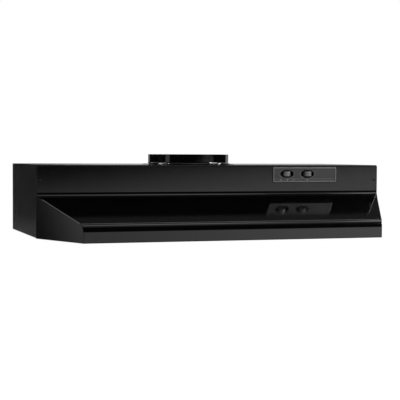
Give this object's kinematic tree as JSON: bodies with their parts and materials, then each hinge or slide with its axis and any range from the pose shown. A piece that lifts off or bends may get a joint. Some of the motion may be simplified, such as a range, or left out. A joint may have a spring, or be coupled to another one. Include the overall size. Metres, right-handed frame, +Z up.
{
  "type": "under cabinet range hood",
  "caption": "Gloss black under cabinet range hood: sloped canopy with mitred wings, round duct collar with butterfly damper, rocker switches, axial fan, drop-down filter and lamp lens.",
  "frame": {"origin": "middle of the upper face of the top panel, which is the middle of the four cabinet screw slots", "axes": "+X to the right as seen from the front, +Y towards the wall, +Z up towards the cabinet"},
  "size_m": [0.762, 0.4445, 0.1712],
  "materials": {
    "gloss_black_paint": "gloss black baked enamel on folded sheet steel",
    "panel_plastic": "satin dark grey moulded plastic",
    "rocker_plastic": "semi-gloss black moulded plastic",
    "switch_plastic": "black moulded switch case",
    "terminal_brass": "tinned brass blade",
    "zinc_steel": "zinc-plated steel",
    "galvanised_steel": "galvanised sheet steel",
    "damper_aluminium": "mill-finish aluminium sheet",
    "grommet_rubber": "black rubber",
    "cast_aluminium": "die-cast aluminium",
    "bushing_bronze": "sintered bronze",
    "lamination_steel": "varnished steel laminations",
    "coil_tape": "yellow insulating tape over copper wire",
    "fan_plastic": "grey moulded plastic",
    "filter_aluminium": "bright aluminium frame and expanded mesh",
    "lamp_box_paint": "white enamel on sheet steel",
    "socket_plastic": "white phenolic lamp holder",
    "cap_brass": "nickel-plated brass screw shell",
    "bulb_glass": "frosted lamp glass",
    "lens_plastic": "clear ribbed plastic",
    "loom_sleeve": "black woven sleeve"
  },
  "bodies": {
    "hood": {"front_panel": "gloss_black_paint", "right_side_panel": "gloss_black_paint", "left_side_panel": "gloss_black_paint", "back_panel": "gloss_black_paint", "top_panel": "gloss_black_paint", "face_rivets": "gloss_black_paint", "collar_base": "gloss_black_paint", "duct_collar": "gloss_black_paint", "control_panel": "panel_plastic", "fan_switch_body": "switch_plastic", "light_switch_body": "switch_plastic", "switch_terminals": "terminal_brass", "collar_screws": "zinc_steel", "damper_pin": "zinc_steel", "housing_rivets": "zinc_steel", "bracket_screws": "zinc_steel", "motor_bolts": "zinc_steel", "cover_screw": "zinc_steel", "filter_clips": "zinc_steel", "fan_housing": "galvanised_steel", "motor_bracket": "galvanised_steel", "wiring_box": "galvanised_steel", "wiring_box_cover": "galvanised_steel", "filter_rail": "galvanised_steel", "motor_grommets": "grommet_rubber", "upper_bearing_bracket": "cast_aluminium", "lower_bearing_bracket": "cast_aluminium", "upper_bushing": "bushing_bronze", "lower_bushing": "bushing_bronze", "stator_stack": "lamination_steel", "stator_coil": "coil_tape", "lamp_housing": "lamp_box_paint", "lamp_socket": "socket_plastic", "lamp_cap": "cap_brass", "lamp_bulb": "bulb_glass", "wire_loom": "loom_sleeve"},
    "fan": {"fan_blade": "fan_plastic", "hub_clip": "zinc_steel", "motor_shaft": "zinc_steel", "rotor": "cast_aluminium"},
    "front_flap": {"front_damper_flap": "damper_aluminium"},
    "rear_flap": {"rear_damper_flap": "damper_aluminium"},
    "fan_paddle": {"fan_rocker": "rocker_plastic"},
    "light_paddle": {"light_rocker": "rocker_plastic"},
    "filter": {"filter_frame": "filter_aluminium", "filter_mesh": "filter_aluminium", "filter_pull": "filter_aluminium"},
    "lens": {"lamp_lens": "lens_plastic"}
  },
  "joints": [
    {"name": "fan_spin", "type": "hinge", "parent": "hood", "child": "fan", "pos_m": [0, 0.03765, -0.045], "axis": [0, 0, 1], "continuous": true},
    {"name": "front_damper_swing", "type": "hinge", "parent": "hood", "child": "front_flap", "pos_m": [0, 0.03765, 0.01], "axis": [-1, 0, 0], "range_deg": [0, 80]},
    {"name": "rear_damper_swing", "type": "hinge", "parent": "hood", "child": "rear_flap", "pos_m": [0, 0.03765, 0.01], "axis": [1, 0, 0], "range_deg": [0, 80]},
    {"name": "fan_rocker_tilt", "type": "hinge", "parent": "hood", "child": "fan_paddle", "pos_m": [0.1645, -0.13275, -0.0192], "axis": [0, 0, 1], "range_deg": [-12, 12]},
    {"name": "light_rocker_tilt", "type": "hinge", "parent": "hood", "child": "light_paddle", "pos_m": [0.2125, -0.13275, -0.0192], "axis": [0, 0, 1], "range_deg": [-12, 0]},
    {"name": "filter_drop", "type": "hinge", "parent": "hood", "child": "filter", "pos_m": [0, 0.13445, -0.1055], "axis": [1, 0, 0], "range_deg": [0, 60]},
    {"name": "lens_drop", "type": "hinge", "parent": "hood", "child": "lens", "pos_m": [0.24, 0.087, -0.0773], "axis": [1, 0, 0], "range_deg": [0, 80]}
  ]
}
